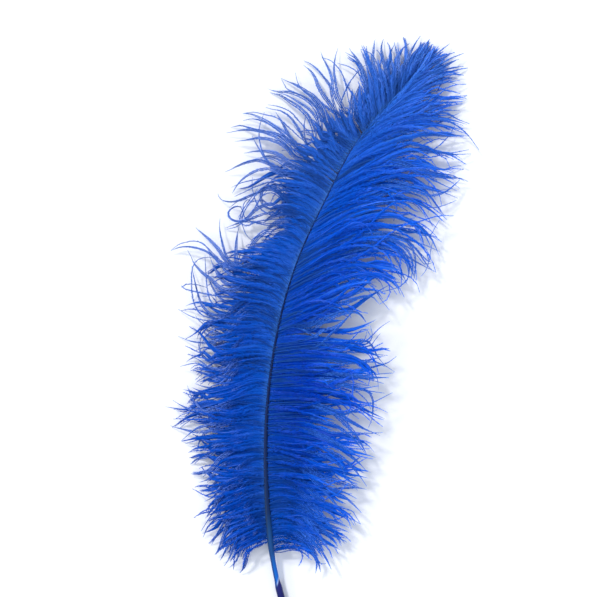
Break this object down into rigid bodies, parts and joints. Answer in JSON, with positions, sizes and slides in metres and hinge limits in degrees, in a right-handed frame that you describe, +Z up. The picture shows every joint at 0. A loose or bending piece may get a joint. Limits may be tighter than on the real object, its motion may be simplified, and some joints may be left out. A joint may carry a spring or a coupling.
{
  "type": "ostrich feather",
  "caption": "Dyed ostrich feather lying on a surface: a bowed, tapering quill and shaft with two soft, drooping vanes of loose barbs.",
  "frame": {"origin": "on the surface that the feather lies on, below the middle of its length and width", "axes": "+Y from the quill's cut end towards the tip, +X towards the vane that floats, +Z up from the surface"},
  "size_m": [0.1826, 0.3648, 0.0162],
  "materials": {
    "dyed_barbs": "royal blue dyed barbs, soft and matt with a faint sheen, one grown piece with the shaft",
    "shaft_keratin": "dark navy dyed keratin, smooth and half glossy, brighter blue at the quill"
  },
  "bodies": {
    "root": {"ostrich_feather": "dyed_barbs"}
  },
  "joints": []
}
